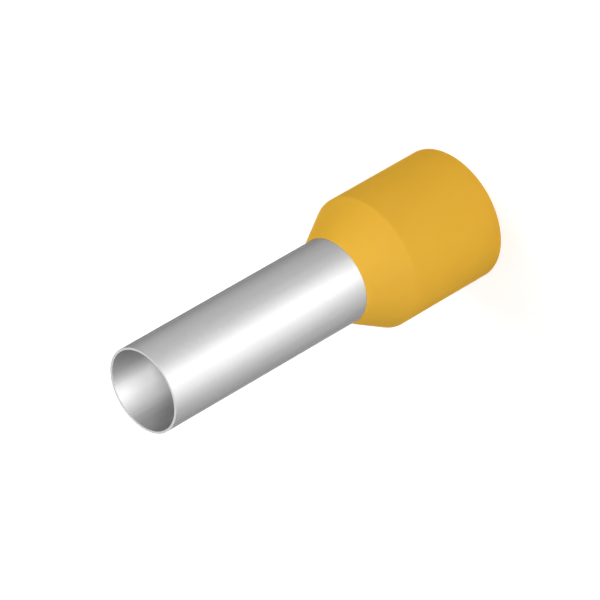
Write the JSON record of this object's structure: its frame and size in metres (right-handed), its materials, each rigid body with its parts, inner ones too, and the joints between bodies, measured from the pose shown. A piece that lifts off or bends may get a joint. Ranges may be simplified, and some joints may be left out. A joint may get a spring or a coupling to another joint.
{
  "type": "insulated wire ferrule",
  "caption": "Insulated wire ferrule: a thin tin-plated tube, open end to end, with a yellow plastic collar that cones out from the tube into a wide skirt for the wire's insulation.",
  "frame": {"origin": "centre of the collar's mouth, on the flat rim that the ferrule stands on", "axes": "+Z along the common axis of collar and sleeve, from the mouth towards the sleeve's tip; X and Y are free"},
  "size_m": [0.012, 0.012, 0.036],
  "materials": {
    "tinned_copper": "satin",
    "yellow_polypropylene": "satin"
  },
  "bodies": {
    "root": {"sleeve": "tinned_copper", "collar": "yellow_polypropylene"}
  },
  "joints": []
}
